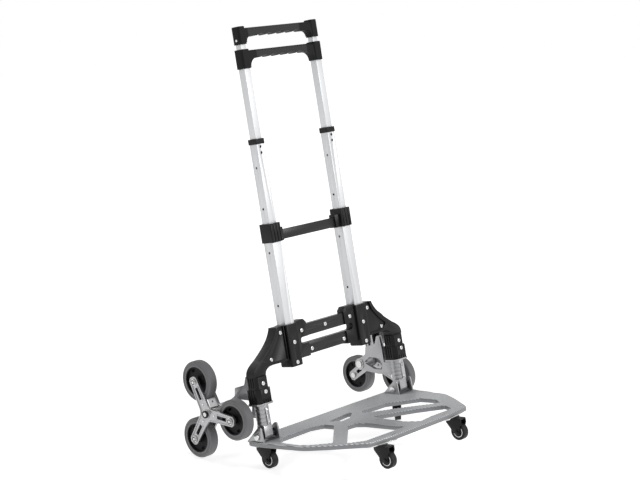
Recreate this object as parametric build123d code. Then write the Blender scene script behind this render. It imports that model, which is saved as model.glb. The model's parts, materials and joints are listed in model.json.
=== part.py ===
from build123d import *
from math import cos, radians, sin
import os

# Folding luggage trolley with telescopic handle, stair-climbing wheel sets and swivel casters.
# Millimetres, +Z up, front of the trolley towards -Y, origin on the floor under the middle of its box.
#
# Frame parts are drawn upright: x across, y back, z along the tubes, with the tube axes in y = 0 and
# z = 0 on the floor. FRAME then leans them back. Toe plate parts are drawn with the top of the plate in
# z = 0 and its rear edge in y = 0, and DECK tilts them and puts them on the hinge pin.

# ---- stance
LEAN = 12.34
DECK_TILT = 8.0

# ---- telescopic tubes: half of their spacing, widths, walls, and ends along the frame
TUBE_X = 114.2
OUTER_TUBE = 28.0
LOWER_TUBE = 23.0
MIDDLE_TUBE = 19.0
UPPER_TUBE = 15.5
TUBE_WALL = 1.5
THIN_WALL = 1.2
TUBE_CORNER = 1.6
OUTER_FOOT, OUTER_TOP = 212.0, 518.0
LOWER_FOOT, LOWER_TOP = 410.0, 707.0
MIDDLE_FOOT, MIDDLE_TOP = 640.0, 901.0
UPPER_FOOT, UPPER_RISE = 735.0, 49.0
UPPER_TOP = MIDDLE_TOP + UPPER_RISE
SLIDE_GAP = 0.3
SLIDER_LENGTH = 30.0
SLIDER_WALL = 2.0
BUSH_LIP = 1.4
BUSH_HEIGHT = 12.0
HOLE_RADIUS = 2.6
OUTER_HOLES = (458.0, 340.0)
LOWER_HOLES = (555.0, 646.0)
STOP_PINS = (677.8, 691.1)
STOP_PIN_RADIUS = 3.2
STOP_PIN_PROUD = 0.2

# ---- sockets that join the tubes, the crossbars and the legs
SOCKET_FOOT, SOCKET_TOP = 203.0, 297.0
SOCKET_HALF_WIDTH = 17.0
SOCKET_HALF_DEPTH = 18.5
SOCKET_FLOOR = 6.0
ARM_FRONT, ARM_BACK = 13.0, 12.0
ARM_SHOULDER_X = 157.0
ARM_OUTER = ((165, 272), (190, 255), (218, 236), (242, 224), (245, 216))
ARM_INNER = ((208, 214), (202, 220), (184, 220.5))
WEB_PANEL = ((136, 301), (148, 301), (156, 276), (178, 252), (196, 238), (184, 226), (136, 224))
WEB_CORNERS = (0, 0, 30, 30, 4, 4, 0)
WEB_FRONT = 9.0
COLUMN_GROOVE = (131.2, 133.6)
GROOVE_FRONT = 3.0
BAR_LOW, BAR_HIGH = (219.0, 246.0), (260.5, 287.0)
BAR_FRONT, BAR_BACK = 8.0, 6.0
BAR_LAP = 10.0
BAR_FLANGE = 3.0
WING_INNER_X = 62.0
WING = (216.0, 300.0)
WING_CHAMFER = 8.0
WING_NOTCH = 12.0
WING_NOTCH_CORNER = 6.0
WING_FRONT = 11.0

# ---- legs, collars and lugs
LEG_X = 226.0
LEG_RADIUS = 10.0
LEG_TOP = 196.0
COLLAR_TIERS = ((147.0, 178.0, 22.0, 21.0), (178.0, 204.0, 19.0, 17.0))
COLLAR_CHAMFER = 8.0
COLLAR_RIB_PITCH = 6.6
COLLAR_RIB_HEIGHT = 9.0
FLANGE_THICK = 3.5
FLANGE_HALF = (24.5, 21.5)
PIN_HEIGHT = 77.0
LUG_RADIUS = 10.5
LUG_HALF_WIDTH = 12.0

# ---- middle clamps with their bar
CLAMP_HEIGHT, CLAMP_CAP = 42.0, 4.0
CLAMP_TOP = OUTER_TOP + CLAMP_CAP
CLAMP_FOOT = CLAMP_TOP - CLAMP_HEIGHT
CLAMP_HALF_WIDTH = 16.0
CLAMP_HALF_DEPTH = 18.0
CLAMP_BAR_RISE, CLAMP_BAR_HEIGHT = 2.0, 22.0
CLAMP_BAR = (CLAMP_FOOT + CLAMP_BAR_RISE, CLAMP_FOOT + CLAMP_BAR_RISE + CLAMP_BAR_HEIGHT)
CLAMP_BAR_DEPTH = (-2.0, 6.0)
CLAMP_NECK = 9.0
RIB_PITCH = 9.0
RIB_GROOVE = (2.4, 1.6)

# ---- handles
LOWER_HANDLE_HEIGHT, LOWER_HANDLE_CAP = 42.0, 4.0
LOWER_HANDLE = (MIDDLE_TOP + LOWER_HANDLE_CAP - LOWER_HANDLE_HEIGHT, MIDDLE_TOP + LOWER_HANDLE_CAP)
LOWER_HANDLE_HALF = (12.3, 13.0)
LOWER_GRIP_HEIGHT, LOWER_GRIP_RECESS = 18.0, 3.0
LOWER_GRIP_TOP = LOWER_HANDLE[1] - LOWER_GRIP_RECESS
LOWER_GRIP = (LOWER_GRIP_TOP - LOWER_GRIP_HEIGHT, LOWER_GRIP_TOP)
UPPER_HANDLE_HEIGHT, UPPER_HANDLE_CAP = 39.0, 5.0
UPPER_HANDLE = (UPPER_TOP + UPPER_HANDLE_CAP - UPPER_HANDLE_HEIGHT, UPPER_TOP + UPPER_HANDLE_CAP)
UPPER_HANDLE_HALF = (11.0, 12.0)
UPPER_GRIP_HEIGHT, UPPER_GRIP_RECESS = 19.0, 4.0
UPPER_GRIP_TOP = UPPER_HANDLE[1] - UPPER_GRIP_RECESS
UPPER_GRIP = (UPPER_GRIP_TOP - UPPER_GRIP_HEIGHT, UPPER_GRIP_TOP)
GRIP_HALF_DEPTH = 10.5
LOWER_ARCH = 20.0
UPPER_ARCH = 13.0
HANDLE_CORNER = 6.0
FINGER_COUNT = 5
FINGER_PITCH = 28.0
FINGER_DEPTH = 4.0

# ---- rivets and screws
RIVET_RADIUS = 4.6
RIVET_HEAD = 1.6
RIVET_SHANK = 2.2
RIVET_DEPTH = 6.0
COLUMN_RIVETS = (256.4, 211.7)
WEB_RIVETS = ((144.0, 283.4), (184.0, 231.5))
COLLAR_RIVETS = (171.5, 189.2)
WING_RIVET = (80.0, 276.0)
BAR_RIVET = (53.0, 229.5)
MIDDLE_RIVET = 274.5

# ---- toe plate
DECK_THICK = 9.0
DECK_PIN_BACK = 39.5
DECK_PIN_HEIGHT = 11.8
DECK_OUTLINE = (
    (256, 0), (256, -60), (250, -110), (243, -165), (214, -214), (166, -283), (90, -293),
)
DECK_CORNERS = (26, 60, 60, 50, 60, 16, 90)
OPENINGS = {
    "left_side": (
        (-220, -74), (-200, -64), (-111, -62), (-82, -75), (-79, -104),
        (-193, -205), (-225, -169), (-234, -145), (-234, -94),
    ),
    "left_front": ((-69, -136), (-46, -139), (-37, -158), (-30, -266), (-152, -262), (-184, -236)),
    "middle": ((-63, -67), (29, -55), (21, -68), (-13, -91), (-40, -94)),
    "right_side": ((44, -75), (123, -79), (190, -130), (193, -172), (171, -203), (122, -160), (31, -91)),
    "right_front": ((14, -130), (99, -183), (156, -229), (136, -264), (66, -262), (22, -269), (5, -234)),
}
OPENING_CORNER = 6.0

# ---- toe plate hinge
BRACKET_WALLS = ((198.5, 202.0), (248.5, 252.0))
BRACKET_BASE = 2.5
BRACKET_SIDE = ((-7, 0), (-22, 13), (-44, 33), (-52, 33), (-57, 0))
PIN_RADIUS = 4.0
PIN_CLEARANCE = 0.08
PIN_HEAD = (7.0, 4.0)

# ---- casters
CASTER_RADIUS = 19.0
CASTER_WIDTH = 14.0
CASTER_DROP = 45.0
CASTER_TRAIL = 16.0
REAR_CASTER = (222.0, -24.0)
FRONT_CASTER = (122.0, -276.6)
CASTER_SWIVEL = {"front_left": -90.0, "front_right": -90.0, "rear_left": -90.0, "rear_right": -135.0}
KING_PIN_RADIUS = 4.0
KING_PIN_POCKET = 7.0
FORK_GAP = 0.6
FORK_WALL = 2.4
FORK_CROWN = (15.0, 2.0)
HOOD_BACK, HOOD_FRONT = 13.0, 12.0
HOOD_THICK = 3.0
HOOD_DROP = 10.0
TONGUE_HALF = 6.0
CASTER_NUT = (4.0, 2.4)
CASTER_PLATE_THICK = 3.0
CASTER_PLATES = {"front": (84.0, 22.0, 10.0), "rear": (54.0, 36.0, 8.0)}
CASTER_PLATE_TURN = 11.0
CASTER_SCREW_SPACING = {"front": 72.0, "rear": 42.0}
CASTER_SCREW_RADIUS = 2.5
CASTER_SCREW_HEAD = (4.4, 1.4)
CASTER_AXLE_RADIUS = 2.5

# ---- wheel brackets and stair wheels
SLEEVE_RADIUS = 15.5
SLEEVE = (97.5, 143.0)
SLEEVE_GROOVES = 4
SLEEVE_GROOVE = (1.6, 0.9)
HORN_CLEARANCE = 3.5
HORN_NECK, HORN_SHOULDER, HORN_TOP = 170.0, 184.0, 203.0
ARM_ROOT = (8.0, 110.0)
ARM_BEND = ((80.0, 178.0), (84.0, 160.0))
ARM_HEEL = (52.0, 112.0)
BRACKET_WINDOW = ((40, 150), (74, 153), (92, 140), (62, 124), (38, 122), (34, 136))
STRAP = (10.0, 2.0, 36.0)
STRAP_PINS = (103.0, 130.0)
STRAP_PIN = (2.6, 1.4)
HUB_BACK, HUB_HEIGHT = 106.6, 136.0
BRACKET_PLATE_THICK = 9.0
BOSS_RADIUS = 14.0
BOSS_FACE = 212.7
AXLE_RADIUS = 5.0
WHEEL_RADIUS = 45.0
RIM_RADIUS = 32.6
WHEEL_WIDTH = 23.0
TYRE_SHOULDER = 5.0
TYRE_GROOVE = (37.0, 1.2, 0.8)
RIM_LIP = 2.4
RIM_DISH = 1.6
RIM_HUB_RADIUS = 9.0
RIM_SLOTS = 4
RIM_SLOT = (10.0, 4.0)
RIM_SLOT_PLACE = 26.0
RIM_TURN = -32.0
WHEEL_OUTER_FACE = 285.5
SPIDER_REACH = 74.8
SPIDER_PLATE = 6.5
SPIDER_GAP = 1.0
SPIDER_ARM = (14.0, 11.5)
SPIDER_TIP = (12.0, 6.0)
SPIDER_FILLET = 16.0
SPIDER_RIM = (2.6, 1.8)
SPIDER_SLOT = (28.0, 8.0)
SPIDER_SLOT_PLACE = 47.5
SPIDER_RIVET_PLACE = 22.4
SPIDER_RIVET_RADIUS = 2.6
SPIDER_HUB_RADIUS = 11.0
SPIDER_BOSS_RADIUS = 7.5
SPIDER_BOLT_RADIUS = 4.0
SPIDER_BOLT_HEAD = (6.5, 3.0)
AXLE_CAP = (8.5, 4.0)
SPIDER_PHASE = {"left": 0.6, "right": -19.2}
RUNNING_CLEARANCE = 0.08
SIDES = {"left": -1, "right": 1}

# ---- worked out from the sizes above
FRAME = Location((0, 0, 0), (-LEAN, 0, 0))
PIN_PLACE = (FRAME * Location((0, 0, PIN_HEIGHT))).position
DECK_TURN = Location((0, 0, 0), (-DECK_TILT, 0, 0))
DECK = Location(PIN_PLACE) * DECK_TURN * Location((0, DECK_PIN_BACK, -DECK_PIN_HEIGHT))
WHEEL_INNER_FACE = WHEEL_OUTER_FACE - WHEEL_WIDTH
BRACKET_PLATE = (BOSS_FACE, BOSS_FACE + BRACKET_PLATE_THICK)

nodes = {}


def add(name, pieces, place=FRAME):
    """File the pieces under a node name, each as a solid of its own."""
    nodes[name] = [place * solid for piece in pieces for solid in piece.solids()]


def block(x, y, z):
    """Box between the limits given for each axis."""
    size = [limits[1] - limits[0] for limits in (x, y, z)]
    centre = [(limits[0] + limits[1]) / 2 for limits in (x, y, z)]
    return Pos(*centre) * Box(*size)


def rod(radius, start, end):
    """Round bar from one point to another."""
    run = Vector(*end) - Vector(*start)
    ends = (Align.CENTER, Align.CENTER, Align.MIN)
    return Plane(origin=start, z_dir=run) * Cylinder(radius, run.length, align=ends)


def outline(points, corner=0.0):
    """Closed flat outline, with its corners rounded by one radius or by one for each point."""
    radii = corner if isinstance(corner, (tuple, list)) else [corner] * len(points)
    face = make_face(FilletPolyline(*points, radius=list(radii), close=True)).face()
    return face if face.normal_at().Z > 0 else -face


def front_slab(face, back, front):
    """Extrude an (x, z) outline between two distances in front of the tube axes."""
    return Pos(0, -back, 0) * extrude(Plane.XZ * face, front - back)


def side_slab(face, x):
    """Extrude a (y, z) outline between two places across the trolley."""
    return Pos(x[0], 0, 0) * extrude(Plane.YZ * face, x[1] - x[0])


def mirrored(piece):
    """The same piece on the other side of the trolley."""
    return mirror(piece, about=Plane.YZ)


def square_bar(x, width, z):
    """Square bar upright on a tube axis, its long corners rounded."""
    bar = block((x - width / 2, x + width / 2), (-width / 2, width / 2), z)
    return fillet(bar.edges().filter_by(Axis.Z), TUBE_CORNER)


def square_tube(x, width, wall, z, holes=()):
    """Square tube upright on a tube axis, with round holes through both side walls."""
    inner = width - 2 * wall
    bore = block((x - inner / 2, x + inner / 2), (-inner / 2, inner / 2), (z[0] - 1, z[1] + 1))
    tube = square_bar(x, width, z) - bore
    for hole in holes:
        tube -= rod(HOLE_RADIUS, (x - width, 0, hole), (x + width, 0, hole))
    return tube


def rivet(place, facing):
    """Domed rivet: a head on the surface and a shank into it."""
    place, facing = Vector(*place), Vector(*facing)
    head = rod(RIVET_RADIUS, place, place + facing * RIVET_HEAD)
    head = fillet(head.edges().sort_by_distance(place + facing * RIVET_HEAD)[0], RIVET_HEAD * 0.9)
    return head + rod(RIVET_SHANK, place - facing * RIVET_DEPTH, place)


# ---- frame tubes

def tube_pair(width, wall, z, holes=()):
    tube = square_tube(TUBE_X, width, wall, z, holes)
    return [mirrored(tube), tube]


def slider(width, bore, foot):
    """Plastic slider pressed into the foot of a tube, a running fit in the bore of the tube around it."""
    outer = bore - 2 * SLIDE_GAP
    collar_z = (foot - SLIDER_WALL, foot)
    collar = block((TUBE_X - outer / 2, TUBE_X + outer / 2), (-outer / 2, outer / 2), collar_z)
    hole = width - 2 * TUBE_WALL - 2 * SLIDER_WALL
    plug_x = (TUBE_X - hole / 2 - SLIDER_WALL, TUBE_X + hole / 2 + SLIDER_WALL)
    plug = block(plug_x, (-hole / 2 - SLIDER_WALL, hole / 2 + SLIDER_WALL), (foot, foot + SLIDER_LENGTH))
    through = (foot - 2 * SLIDER_WALL, foot + 2 * SLIDER_LENGTH)
    bore_cut = block((TUBE_X - hole / 2, TUBE_X + hole / 2), (-hole / 2, hole / 2), through)
    return collar + plug - bore_cut


def guide_ring(outside, inside, z):
    """Square plastic ring on top of a tube, a running fit around the next tube."""
    half = inside / 2 + SLIDE_GAP
    hole = block((TUBE_X - half, TUBE_X + half), (-half, half), (z[0] - 1, z[1] + 1))
    return square_bar(TUBE_X, outside, z) - hole


def build_tubes():
    add("outer_tubes", tube_pair(OUTER_TUBE, TUBE_WALL, (OUTER_FOOT, OUTER_TOP), OUTER_HOLES))
    add("lower_stage_tubes", tube_pair(LOWER_TUBE, TUBE_WALL, (LOWER_FOOT, LOWER_TOP), LOWER_HOLES))
    add("middle_stage_tubes", tube_pair(MIDDLE_TUBE, THIN_WALL, (MIDDLE_FOOT, MIDDLE_TOP)))
    add("upper_stage_tubes", tube_pair(UPPER_TUBE, THIN_WALL, (UPPER_FOOT, UPPER_TOP)))
    lower_slider = slider(LOWER_TUBE, OUTER_TUBE - 2 * TUBE_WALL, LOWER_FOOT)
    add("lower_stage_sliders", [mirrored(lower_slider), lower_slider])
    skirt_z = (LOWER_TOP - BUSH_HEIGHT + SLIDER_WALL, LOWER_TOP)
    skirt = guide_ring(LOWER_TUBE + 2 * BUSH_LIP, LOWER_TUBE - 2 * SLIDE_GAP, skirt_z)
    lid = guide_ring(LOWER_TUBE + 2 * BUSH_LIP, MIDDLE_TUBE, (LOWER_TOP, LOWER_TOP + SLIDER_WALL))
    bush = skirt + lid
    add("ring_bushes", [mirrored(bush), bush])
    pins = []
    for height in STOP_PINS:
        face = -LOWER_TUBE / 2
        start = (TUBE_X, face + TUBE_WALL, height)
        pin = rod(STOP_PIN_RADIUS, start, (TUBE_X, face - STOP_PIN_PROUD, height))
        pins += [mirrored(pin), pin]
    nodes["lower_stage_tubes"] = cut_all("lower_stage_tubes", pins)
    add("stop_pins", pins)


def cut_all(name, tools, place=FRAME):
    """The solids of a node with some pieces cut out of them."""
    tools = [place * tool for tool in tools]
    return [piece for solid in nodes[name] for piece in (solid - tools).solids()]


# ---- sockets, crossbars, collars and legs

def socket():
    """Right socket: a column round the tube, a wing to the crossbars and an arm down to the leg."""
    column_x = (TUBE_X - SOCKET_HALF_WIDTH, TUBE_X + SOCKET_HALF_WIDTH)
    column = block(column_x, (-SOCKET_HALF_DEPTH, SOCKET_HALF_DEPTH), (SOCKET_FOOT, SOCKET_TOP))
    column = fillet(column.edges().filter_by(Axis.Z), 3)
    column = chamfer(column.faces().sort_by(Axis.Z)[0].edges(), 2)
    foot_z = COLLAR_TIERS[1][1]
    outer, inner = ARM_OUTER, ARM_INNER
    with BuildSketch() as arm:
        with BuildLine():
            Polyline((TUBE_X, SOCKET_TOP), (ARM_SHOULDER_X, SOCKET_TOP))
            Bezier((ARM_SHOULDER_X, SOCKET_TOP), *outer[:3])
            Bezier(outer[2], *outer[3:], (outer[-1][0], foot_z))
            Line((outer[-1][0], foot_z), (inner[0][0] + 2, foot_z))
            Bezier((inner[0][0] + 2, foot_z), *inner)
            Polyline(inner[-1], (TUBE_X, inner[-1][1] - 1.5), (TUBE_X, SOCKET_TOP))
        make_face()
    arm = front_slab(arm.sketch, -ARM_BACK, ARM_FRONT)
    arm -= front_slab(outline(WEB_PANEL, WEB_CORNERS), WEB_FRONT, ARM_FRONT + 1)
    arm -= block(COLUMN_GROOVE, (-ARM_FRONT - 1, -GROOVE_FRONT), WING)
    wing = block((WING_INNER_X, TUBE_X), (-WING_FRONT, BAR_BACK + BAR_FLANGE), WING)
    wing = chamfer(wing.edges().filter_by(Axis.Y).group_by(Axis.Z)[-1].sort_by(Axis.X)[0], WING_CHAMFER)
    slot_z = (BAR_LOW[1], BAR_HIGH[0])
    slot = block((WING_INNER_X - 5, TUBE_X - SOCKET_HALF_WIDTH - WING_NOTCH), (-40, 40), slot_z)
    slot = fillet(slot.edges().filter_by(Axis.Y).group_by(Axis.X)[-1], WING_NOTCH_CORNER)
    wing -= slot
    for limits in (BAR_LOW, BAR_HIGH):
        bar_end = block((0, TUBE_X - SOCKET_HALF_WIDTH - BAR_LAP), (-BAR_FRONT, BAR_BACK), limits)
        wing -= bar_end
    body = column + arm + wing
    half = OUTER_TUBE / 2
    body -= square_bar(TUBE_X, OUTER_TUBE, (OUTER_FOOT, SOCKET_TOP + 10))
    drain = SOCKET_FLOOR
    body -= rod(drain, (TUBE_X, 0, SOCKET_FOOT - 1), (TUBE_X, 0, OUTER_FOOT + half))
    body -= rod(LEG_RADIUS, (LEG_X, 0, foot_z - 1), (LEG_X, 0, LEG_TOP + 12))
    return body


def crossbar(limits):
    """Pressed channel between the sockets."""
    reach = TUBE_X - SOCKET_HALF_WIDTH - BAR_LAP
    bar = block((-reach, reach), (-BAR_FRONT, BAR_BACK), limits)
    hollow_z = (limits[0] + BAR_FLANGE, limits[1] - BAR_FLANGE)
    hollow = block((-WING_INNER_X + 2, WING_INNER_X - 2), (-BAR_FRONT + BAR_FLANGE, BAR_BACK + 1), hollow_z)
    return bar - hollow


def front_groove(x, front, z):
    """Tool that cuts an upright groove into a front face."""
    width, depth = RIB_GROOVE
    return block((x - width / 2, x + width / 2), (-front - 1, -front + depth), z)


def side_groove(y, middle, half, z):
    """Pair of tools that cut an upright groove into both side faces."""
    width, depth = RIB_GROOVE
    limits = ((middle - half - 1, middle - half + depth), (middle + half - depth, middle + half + 1))
    return [block(x, (y - width / 2, y + width / 2), z) for x in limits]


def collar():
    """Right collar: two chamfered tiers round the leg."""
    tiers = []
    for foot, top, half_x, half_y in COLLAR_TIERS:
        tier = block((LEG_X - half_x, LEG_X + half_x), (-half_y, half_y), (foot, top))
        tier = chamfer(tier.edges().filter_by(Axis.Z), COLLAR_CHAMFER - 2 * len(tiers))
        across = [LEG_X + (rib - 1.5) * COLLAR_RIB_PITCH for rib in range(4)]
        along = [rib * COLLAR_RIB_PITCH for rib in (-1, 0, 1)]
        low_z = (foot - 1, foot + COLLAR_RIB_HEIGHT)
        if not tiers:
            tier -= [front_groove(x, half_y, low_z) for x in across]
        tier -= [tool for y in along for tool in side_groove(y, LEG_X, half_x, (foot + 4, top + 1))]
        tiers.append(tier)
    bore = rod(LEG_RADIUS, (LEG_X, 0, COLLAR_TIERS[0][0] - 1), (LEG_X, 0, COLLAR_TIERS[1][1] + 1))
    return tiers[0] + tiers[1] - bore


def leg():
    """Right leg: a round bar with a flange under the collar and a lug round the hinge pin."""
    flange_top = COLLAR_TIERS[0][0]
    bar = rod(LEG_RADIUS, (LEG_X, 0, PIN_HEIGHT), (LEG_X, 0, LEG_TOP))
    half_x, half_y = FLANGE_HALF
    flange_z = (flange_top - FLANGE_THICK, flange_top)
    flange = block((LEG_X - half_x, LEG_X + half_x), (-half_y, half_y), flange_z)
    flange = chamfer(flange.edges().filter_by(Axis.Z), COLLAR_CHAMFER)
    lug_x = (LEG_X - LUG_HALF_WIDTH, LEG_X + LUG_HALF_WIDTH)
    lug = block(lug_x, (-LUG_RADIUS, LUG_RADIUS), (PIN_HEIGHT, SLEEVE[0] - SLIDE_GAP))
    knuckle = rod(LUG_RADIUS, (lug_x[0], 0, PIN_HEIGHT), (lug_x[1], 0, PIN_HEIGHT))
    bore_radius = PIN_RADIUS + PIN_CLEARANCE
    bore = rod(bore_radius, (lug_x[0] - 1, 0, PIN_HEIGHT), (lug_x[1] + 1, 0, PIN_HEIGHT))
    return bar + flange + lug + knuckle - bore


def build_frame():
    right_socket = socket()
    right_collar = collar()
    right_leg = leg()
    front = -SOCKET_HALF_DEPTH
    rivets = []
    places = [(TUBE_X, height, front) for height in COLUMN_RIVETS]
    places += [(x, height, -WEB_FRONT) for x, height in WEB_RIVETS]
    places += [(LEG_X, height, -tier[3]) for height, tier in zip(COLLAR_RIVETS, COLLAR_TIERS)]
    places += [(*WING_RIVET, -WING_FRONT), (*BAR_RIVET, -BAR_FRONT)]
    for x, z, y in places:
        fixed = rivet((x, y, z), (0, -1, 0))
        rivets += [mirrored(fixed), fixed]
    rivets.append(rivet((0, -BAR_FRONT, MIDDLE_RIVET), (0, -1, 0)))
    add("frame_rivets", rivets)
    add("socket_left", [mirrored(right_socket)])
    add("socket_right", [right_socket])
    add("collar_left", [mirrored(right_collar)])
    add("collar_right", [right_collar])
    add("leg_left", [mirrored(right_leg)])
    add("leg_right", [right_leg])
    add("crossbar_lower", [crossbar(BAR_LOW)])
    add("crossbar_upper", [crossbar(BAR_HIGH)])
    for name in ("outer_tubes", "crossbar_lower", "crossbar_upper"):
        nodes[name] = cut_all(name, rivets)
    for side in SIDES:
        for kind in ("socket_", "collar_"):
            nodes[kind + side] = cut_all(kind + side, rivets)


def build_clamps():
    """Moulded clamps at the top of the outer tubes, with the flat bar between them."""
    clamp_x = (TUBE_X - CLAMP_HALF_WIDTH, TUBE_X + CLAMP_HALF_WIDTH)
    clamp = block(clamp_x, (-CLAMP_HALF_DEPTH, CLAMP_HALF_DEPTH), (CLAMP_FOOT, CLAMP_TOP))
    clamp = fillet(clamp.edges().filter_by(Axis.Z), 3)
    for rib in (-1, 0, 1):
        rib_x = TUBE_X + (rib - 0.25) * RIB_PITCH
        clamp -= front_groove(rib_x, CLAMP_HALF_DEPTH, (CLAMP_FOOT - 1, CLAMP_TOP + 1))
    neck_x = (clamp_x[0] - 13, clamp_x[0])
    neck = block(neck_x, (-CLAMP_NECK, CLAMP_NECK), (CLAMP_FOOT, CLAMP_BAR[1] + 6))
    clamp += neck
    clamp -= block((neck_x[0] - 1, clamp_x[0]), (-CLAMP_BAR_DEPTH[1], -CLAMP_BAR_DEPTH[0]), CLAMP_BAR)
    clamp -= square_bar(TUBE_X, OUTER_TUBE, (CLAMP_FOOT - 1, OUTER_TOP))
    half = LOWER_TUBE / 2 + SLIDE_GAP
    clamp -= block((TUBE_X - half, TUBE_X + half), (-half, half), (OUTER_TOP - 1, CLAMP_TOP + 1))
    add("clamp_left", [mirrored(clamp)])
    add("clamp_right", [clamp])
    reach = clamp_x[0]
    add("clamp_bar", [block((-reach, reach), (-CLAMP_BAR_DEPTH[1], -CLAMP_BAR_DEPTH[0]), CLAMP_BAR)])


# ---- handles

def handle(ends, half, grip, arch, tube, tube_top, tube_through):
    """Moulded handle: an end block on each tube and a grip bar with an arch at both ends."""
    half_x, half_y = half
    inner = TUBE_X - half_x
    end = block((inner, TUBE_X + half_x), (-half_y, half_y), ends)
    end = fillet(end.edges().filter_by(Axis.Z), min(HANDLE_CORNER, half_x - tube / 2 + TUBE_CORNER + 1.2))
    end = fillet(end.faces().sort_by(Axis.Z)[-1].edges(), 2)
    bar = block((-inner - 2, inner + 2), (-GRIP_HALF_DEPTH, GRIP_HALF_DEPTH), grip)
    for finger in range(FINGER_COUNT):
        x = (finger - (FINGER_COUNT - 1) / 2) * FINGER_PITCH
        swell = FINGER_PITCH ** 2 / (8 * FINGER_DEPTH) + FINGER_DEPTH / 2
        centre_z = grip[0] - swell + FINGER_DEPTH
        bar -= rod(swell, (x, -half_y - 1, centre_z), (x, half_y + 1, centre_z))
    corner_z = (grip[0] - arch, grip[0] + 2)
    corner = block((inner - arch, inner + 2), (-GRIP_HALF_DEPTH, GRIP_HALF_DEPTH), corner_z)
    arch_y = GRIP_HALF_DEPTH + 1
    arch_x, arch_z = inner - arch, grip[0] - arch
    corner -= rod(arch, (arch_x, -arch_y, arch_z), (arch_x, arch_y, arch_z))
    bar = fillet(bar.edges().filter_by(Axis.X).group_by(Axis.Z)[-1], 5)
    body = bar + corner + mirrored(corner) + end + mirrored(end)
    for side in (-1, 1):
        body -= square_bar(side * TUBE_X, tube, (ends[0] - 1, tube_top))
        if tube_through:
            half_hole = tube_through / 2 + SLIDE_GAP
            hole_x = (side * TUBE_X - half_hole, side * TUBE_X + half_hole)
            body -= block(hole_x, (-half_hole, half_hole), (tube_top - 1, ends[1] + 1))
    return body


def build_handles():
    lower_grip = (LOWER_HANDLE, LOWER_HANDLE_HALF, LOWER_GRIP, LOWER_ARCH)
    add("lower_handle", [handle(*lower_grip, MIDDLE_TUBE, MIDDLE_TOP, UPPER_TUBE)])
    upper_grip = (UPPER_HANDLE, UPPER_HANDLE_HALF, UPPER_GRIP, UPPER_ARCH)
    add("upper_handle", [handle(*upper_grip, UPPER_TUBE, UPPER_TOP, 0)])


# ---- toe plate with its hinges and casters

def deck_outline():
    left = [(-x, y) for x, y in reversed(DECK_OUTLINE)]
    return outline(list(DECK_OUTLINE) + left, list(DECK_CORNERS) + list(reversed(DECK_CORNERS)))


def build_deck():
    plate = extrude(deck_outline(), -DECK_THICK)
    plate = fillet(plate.faces().sort_by(Axis.Z)[-1].outer_wire().edges(), 2.5)
    for points in OPENINGS.values():
        plate -= Pos(0, 0, -DECK_THICK - 1) * extrude(outline(points, OPENING_CORNER), DECK_THICK + 2)
    brackets = []
    side = outline(BRACKET_SIDE, (0, 6, 5, 5, 0))
    span = (BRACKET_WALLS[0][0], BRACKET_WALLS[1][1])
    base = block(span, (BRACKET_SIDE[-1][0], BRACKET_SIDE[0][0]), (-BRACKET_BASE, 0))
    walls = [side_slab(side, limits) for limits in BRACKET_WALLS]
    bracket = base + walls[0] + walls[1]

    def hinge_rod(radius, start, end):
        return rod(radius, (start, -DECK_PIN_BACK, DECK_PIN_HEIGHT), (end, -DECK_PIN_BACK, DECK_PIN_HEIGHT))

    pin = hinge_rod(PIN_RADIUS, *span)
    bracket -= pin
    head_radius, head_length = PIN_HEAD
    pin += hinge_rod(head_radius, span[0] - head_length, span[0])
    pin += hinge_rod(head_radius, span[1], span[1] + head_length)
    plate -= [base, mirrored(base)]
    add("hinge_bracket_left", [mirrored(bracket)], DECK)
    add("hinge_bracket_right", [bracket], DECK)
    add("hinge_pins", [mirrored(pin), pin], DECK)
    build_casters(plate)


def caster_places():
    """Name, king pin place and swivel angle of each caster."""
    for name, swivel in CASTER_SWIVEL.items():
        x, y = FRONT_CASTER if name.startswith("front") else REAR_CASTER
        yield name, (-x if name.endswith("left") else x), y, swivel


def build_casters(plate):
    top = -DECK_THICK
    bearing = top - CASTER_PLATE_THICK
    bearings, screws = [], []
    for name, x, y, swivel in caster_places():
        place = DECK * Location((x, y, 0))
        pocket = rod(KING_PIN_POCKET, (x, y, top - 1), (x, y, top + CASTER_PLATE_THICK * 2))
        plate -= pocket
        row = name.split("_")[0]
        turn = CASTER_PLATE_TURN if row == "front" else 0
        length, width, corner = CASTER_PLATES[row]
        seat = Location((x, y, 0), (0, 0, turn if x > 0 else -turn))
        pad = extrude(RectangleRounded(length, width, corner), CASTER_PLATE_THICK)
        bearing_plate = seat * Pos(0, 0, bearing) * pad
        bearing_plate -= rod(KING_PIN_RADIUS + RUNNING_CLEARANCE, (x, y, bearing - 1), (x, y, top + 1))
        head_radius, head_height = CASTER_SCREW_HEAD
        # The front screws are countersunk from above, and the rear ones come up from below.
        screw_top, head_start = 0, -head_height
        if row == "rear":
            screw_top, head_start = -BRACKET_BASE - 1, bearing - head_height
        for along in (-CASTER_SCREW_SPACING[row] / 2, CASTER_SCREW_SPACING[row] / 2):
            screw = rod(CASTER_SCREW_RADIUS, (along, 0, bearing), (along, 0, screw_top))
            screw += rod(head_radius, (along, 0, head_start), (along, 0, head_start + head_height))
            screws.append(seat * screw)
        bearing_plate -= screws
        bearings.append(bearing_plate)
        turned = place * Location((0, 0, 0), (0, 0, swivel))
        add("caster_fork_" + name, [caster_fork(bearing, top)], turned)
        nodes["caster_fork_" + name] += [turned * solid for solid in caster_axle().solids()]
        add("caster_wheel_" + name, [caster_wheel()], turned)
    plate -= screws
    add("toe_plate", [plate], DECK)
    add("caster_plates", bearings, DECK)
    add("deck_screws", screws, DECK)


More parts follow.
